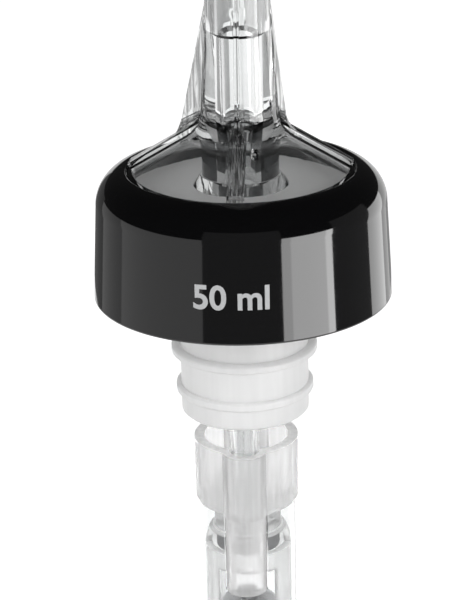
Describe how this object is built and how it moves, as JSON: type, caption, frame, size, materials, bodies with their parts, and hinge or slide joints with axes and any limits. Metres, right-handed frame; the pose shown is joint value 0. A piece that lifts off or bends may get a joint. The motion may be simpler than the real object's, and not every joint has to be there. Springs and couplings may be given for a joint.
{
  "type": "measured pourer",
  "caption": "Bottle pourer with a clear finned spout, a black collar, a ribbed push-in stopper and a ball-valve tail that shuts off each pour at a set measure.",
  "frame": {"origin": "on the pourer's axis, in the plane of the stopper's flange that rests on the bottle's lip", "axes": "+Z along the axis towards the spout's tip, -Z into the bottle, -Y the front with the breather duct, +X the right of someone facing the front"},
  "size_m": [0.04, 0.04, 0.12],
  "materials": {
    "clear_plastic": "clear, polished",
    "black_plastic": "polished black",
    "soft_milky_plastic": "soft, milky, satin",
    "milky_plastic": "milky, satin",
    "clear_tube": "clear, smooth",
    "clear_cup": "clear, thin-walled",
    "ball_steel": "polished",
    "seat_rubber": "matt"
  },
  "bodies": {
    "pourer": {"spout": "clear_plastic", "collar": "black_plastic", "stopper": "soft_milky_plastic", "breather_tube": "clear_tube", "tail_ring": "milky_plastic", "valve_cage": "milky_plastic", "seat_washer": "seat_rubber", "breather_duct": "milky_plastic", "measuring_cup": "clear_cup", "end_cap": "milky_plastic"},
    "control_ball": {"control_ball": "ball_steel"},
    "spout_ball": {"spout_ball": "ball_steel"},
    "breather_ball": {"breather_ball": "ball_steel"}
  },
  "joints": [
    {"name": "control_ball_rise", "type": "slide", "parent": "pourer", "child": "control_ball", "axis": [0, 0, 1], "range_m": [0, 0.008]},
    {"name": "spout_ball_rise", "type": "slide", "parent": "pourer", "child": "spout_ball", "axis": [0, 0, 1], "range_m": [0, 0.0055]},
    {"name": "breather_ball_rise", "type": "slide", "parent": "pourer", "child": "breather_ball", "axis": [0, 0, 1], "range_m": [0, 0.0034]}
  ]
}
